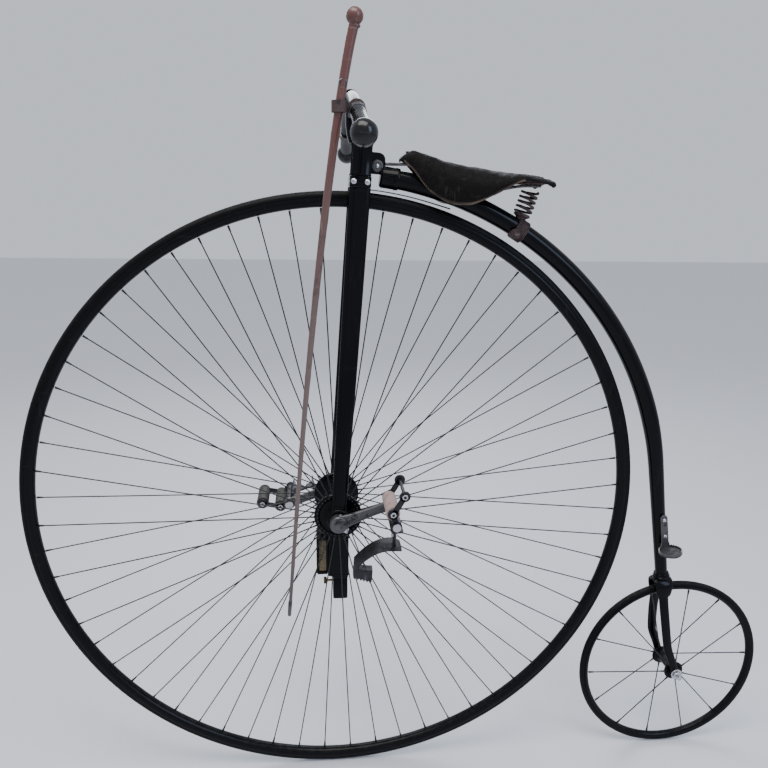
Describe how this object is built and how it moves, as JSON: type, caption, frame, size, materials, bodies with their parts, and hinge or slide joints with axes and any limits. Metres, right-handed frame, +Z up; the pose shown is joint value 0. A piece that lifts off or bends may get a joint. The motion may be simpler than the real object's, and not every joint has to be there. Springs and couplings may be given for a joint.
{
  "type": "high-wheel bicycle",
  "caption": "High-wheel bicycle with a steered front wheel driven by direct cranks, a curved backbone, a sprung leather saddle, toe-plate pedals, a hanging hub lamp and a cane.",
  "frame": {"origin": "the rider's seat: top of the saddle on its middle line, where the rider sits", "axes": "+X forward, +Y to the rider's left, +Z up"},
  "size_m": [1.6833, 0.628, 1.597],
  "materials": {
    "black_enamel": "gloss, worn",
    "dark_steel": "dull",
    "dull_steel": "dull, stained",
    "bright_steel": "satin",
    "rusty_iron": "rusty",
    "leather_brown": "worn",
    "horn_black": "polished horn",
    "tyre_black": "matte",
    "pale_rubber": "worn",
    "dark_rubber": "worn",
    "cane_wood": "varnished",
    "clip_brass": "tarnished",
    "amber_glass": "clear amber"
  },
  "bodies": {
    "frame": {"backbone": "black_enamel", "neck": "black_enamel", "rear_fork": "black_enamel", "rear_axle": "bright_steel", "step": "dull_steel", "saddle_leather": "leather_brown", "saddle_leaf_spring": "dull_steel", "saddle_rear_plate": "rusty_iron", "saddle_coil_spring": "rusty_iron", "saddle_clamp": "rusty_iron", "saddle_bolt": "rusty_iron"},
    "steering": {"steering_head": "black_enamel", "head_bolt": "dark_steel", "fork_crown": "black_enamel", "fork_blade_left": "black_enamel", "fork_blade_right": "black_enamel", "bearing_left": "black_enamel", "bearing_right": "black_enamel", "handlebar": "black_enamel", "grip_left": "horn_black", "grip_right": "horn_black", "tyre_guard": "black_enamel", "cane": "cane_wood", "cane_clip": "clip_brass"},
    "front_wheel": {"front_tyre": "tyre_black", "front_rim": "black_enamel", "front_spokes_left": "dark_steel", "front_spokes_right": "dark_steel", "front_hub": "black_enamel", "front_axle": "dull_steel", "crank_left": "dull_steel", "crank_right": "dull_steel", "pedal_pin_left": "bright_steel", "pedal_pin_right": "bright_steel"},
    "left_pedal": {"pedal_left": "dull_steel", "pedal_rubber_left": "pale_rubber", "toe_clip_left": "dull_steel"},
    "right_pedal": {"pedal_right": "dull_steel", "pedal_rubber_right": "dark_rubber", "toe_clip_right": "dull_steel"},
    "rear_wheel": {"rear_tyre": "tyre_black", "rear_rim": "black_enamel", "rear_spokes": "dark_steel", "rear_hub": "black_enamel"},
    "hub_lamp": {"lamp_body": "black_enamel", "lamp_hood": "black_enamel", "lamp_glass": "amber_glass", "lamp_hanger": "black_enamel"}
  },
  "joints": [
    {"name": "steering_turn", "type": "hinge", "parent": "frame", "child": "steering", "pos_m": [0.29072, 0, -0.70516], "axis": [-0.0663, 0, 0.9978], "range_deg": [-30, 30]},
    {"name": "front_wheel_spin", "type": "hinge", "parent": "steering", "child": "front_wheel", "pos_m": [0.29072, 0, -0.70516], "axis": [0, 1, 0], "continuous": true},
    {"name": "left_pedal_spin", "type": "hinge", "parent": "front_wheel", "child": "left_pedal", "pos_m": [0.1836, 0, -0.66617], "axis": [0, 1, 0], "continuous": true},
    {"name": "right_pedal_spin", "type": "hinge", "parent": "front_wheel", "child": "right_pedal", "pos_m": [0.39784, 0, -0.74415], "axis": [0, 1, 0], "continuous": true},
    {"name": "rear_wheel_spin", "type": "hinge", "parent": "frame", "child": "rear_wheel", "pos_m": [-0.51268, 0, -1.14516], "axis": [0, 1, 0], "continuous": true},
    {"name": "lamp_swing", "type": "hinge", "parent": "steering", "child": "hub_lamp", "pos_m": [0.29072, 0, -0.70516], "axis": [0, 1, 0], "range_deg": [-45, 45]}
  ]
}
